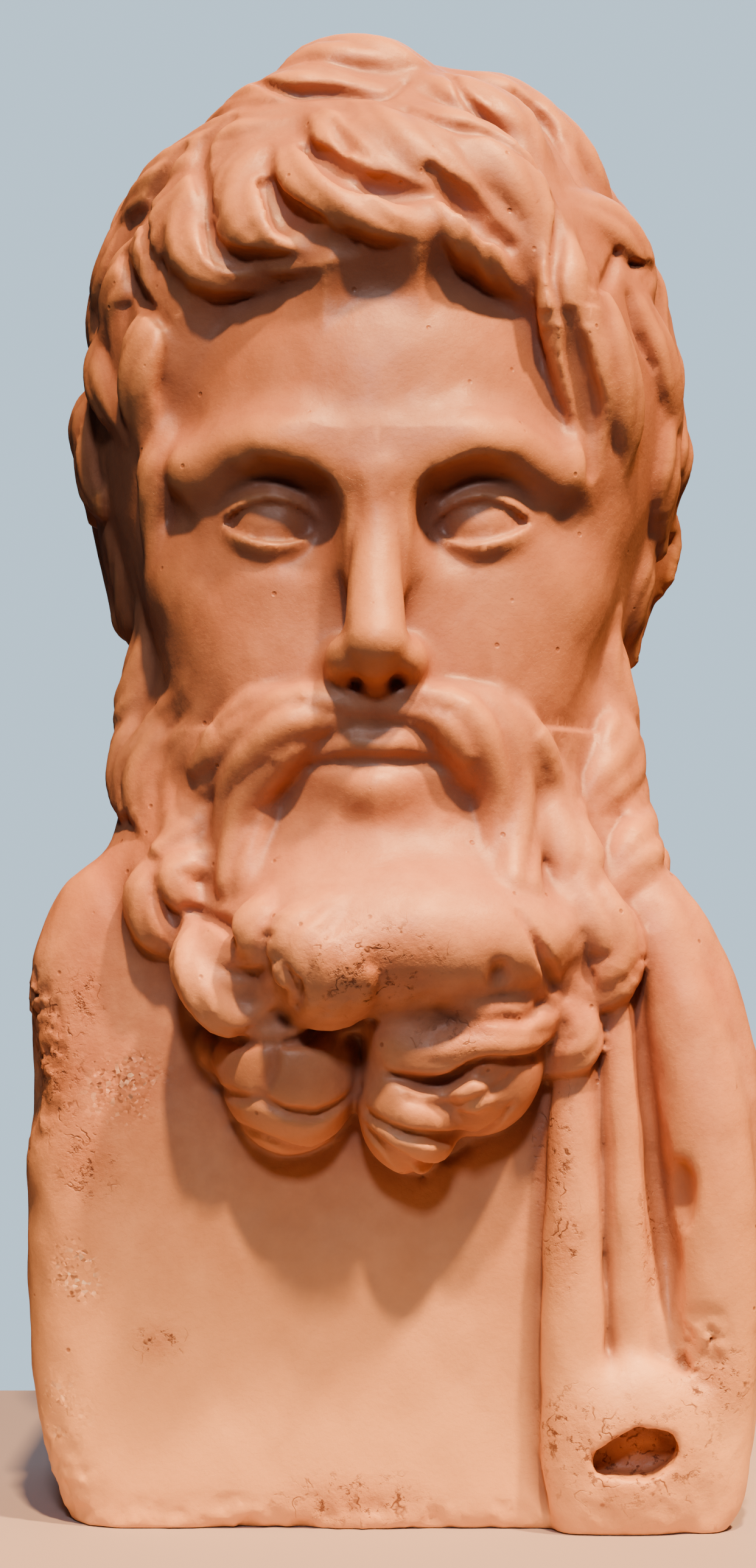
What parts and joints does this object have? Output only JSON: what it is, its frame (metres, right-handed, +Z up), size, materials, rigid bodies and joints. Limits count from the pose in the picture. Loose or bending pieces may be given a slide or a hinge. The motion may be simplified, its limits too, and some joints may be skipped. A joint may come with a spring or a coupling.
{
  "type": "roman herm",
  "caption": "Marble herm: a long-haired, bearded male head on a squared bust with a cloak over its left shoulder and a small socket in the cloak's lower end; stands on its flat underside.",
  "frame": {"origin": "on the surface it stands on, under the middle of the bust", "axes": "+Z up, the face looks along -Y, +X to the viewer's right when seen from the front"},
  "size_m": [0.1469, 0.1504, 0.2991],
  "materials": {
    "marble": "worn and waxy, with warm salmon toning and brown root marks"
  },
  "bodies": {
    "root": {"herm": "marble"}
  },
  "joints": []
}
